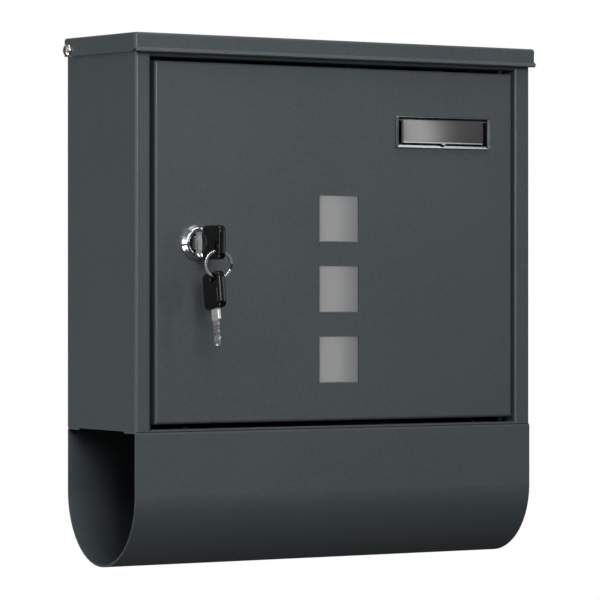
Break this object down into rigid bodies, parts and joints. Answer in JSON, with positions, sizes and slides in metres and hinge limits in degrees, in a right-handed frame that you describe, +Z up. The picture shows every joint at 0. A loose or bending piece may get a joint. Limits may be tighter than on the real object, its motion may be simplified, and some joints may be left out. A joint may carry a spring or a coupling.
{
  "type": "wall mounted mailbox",
  "caption": "Flat wall mailbox with an overhanging hinged lid, a locking front door with windows and a name plate, and an open-ended newspaper holder below.",
  "frame": {"origin": "middle of the four wall screw holes, on the wall's face", "axes": "+X to the right as one faces the door, +Y into the wall, +Z up"},
  "size_m": [0.3098, 0.1373, 0.3414],
  "materials": {
    "powder_coat": "fine satin powder coat, anthracite",
    "zinc_plate": "bright zinc plate",
    "nylon": "natural nylon",
    "smoked_acrylic": "smoked translucent sheet",
    "frame_metal": "satin gunmetal",
    "card": "blank card",
    "clear_flap": "smoked clear flap",
    "chrome": "polished",
    "key_steel": "nickel plated",
    "ring_steel": "bright wire",
    "black_plastic": "smooth black"
  },
  "bodies": {
    "case": {"case_wrap": "powder_coat", "back_panel": "powder_coat", "bottom_panel": "powder_coat", "paper_holder": "powder_coat", "lid_pivot_screws": "zinc_plate", "lid_pivot_washers": "nylon", "lid_pivot_nuts": "zinc_plate", "holder_screws": "zinc_plate", "holder_nuts": "zinc_plate"},
    "lid": {"lid": "powder_coat"},
    "door": {"door_panel": "powder_coat", "door_hinge_pins": "zinc_plate", "window_strip": "smoked_acrylic", "window_studs": "zinc_plate", "window_nuts": "zinc_plate", "nameplate_frame": "frame_metal", "name_card": "card", "lock_housing": "chrome", "lock_nut": "zinc_plate"},
    "nameplate_flap": {"nameplate_flap": "clear_flap"},
    "lock_plug": {"lock_plug": "chrome", "lock_cam": "zinc_plate", "cam_screw": "zinc_plate"},
    "key": {"key_blade": "key_steel", "key_head": "black_plastic"},
    "key_ring": {"key_ring": "ring_steel"},
    "spare_key": {"spare_key_blade": "key_steel", "spare_key_head": "black_plastic"}
  },
  "joints": [
    {"name": "lid_hinge", "type": "hinge", "parent": "case", "child": "lid", "pos_m": [0, -0.0102, 0.1203], "axis": [-1, 0, 0], "range_deg": [0, 90]},
    {"name": "door_hinge", "type": "hinge", "parent": "case", "child": "door", "pos_m": [0.129, -0.094, 0], "axis": [0, 0, 1], "range_deg": [0, 110]},
    {"name": "nameplate_flap_hinge", "type": "hinge", "parent": "door", "child": "nameplate_flap", "pos_m": [0.0801, -0.0993, 0.0763], "axis": [-1, 0, 0], "range_deg": [0, 100]},
    {"name": "lock_turn", "type": "hinge", "parent": "door", "child": "lock_plug", "pos_m": [-0.106, -0.099, -0.0056], "axis": [0, 1, 0], "range_deg": [0, 90]},
    {"name": "key_slide", "type": "slide", "parent": "lock_plug", "child": "key", "axis": [0, -1, 0], "range_m": [0, 0.03]},
    {"name": "ring_swing", "type": "hinge", "parent": "key", "child": "key_ring", "pos_m": [-0.106, -0.1271, -0.01088], "axis": [1, 0, 0], "range_deg": [-90, 20]},
    {"name": "spare_key_swing", "type": "hinge", "parent": "key_ring", "child": "spare_key", "pos_m": [-0.10797, -0.12675, -0.02774], "axis": [1, 0, 0], "range_deg": [-60, 10]}
  ]
}
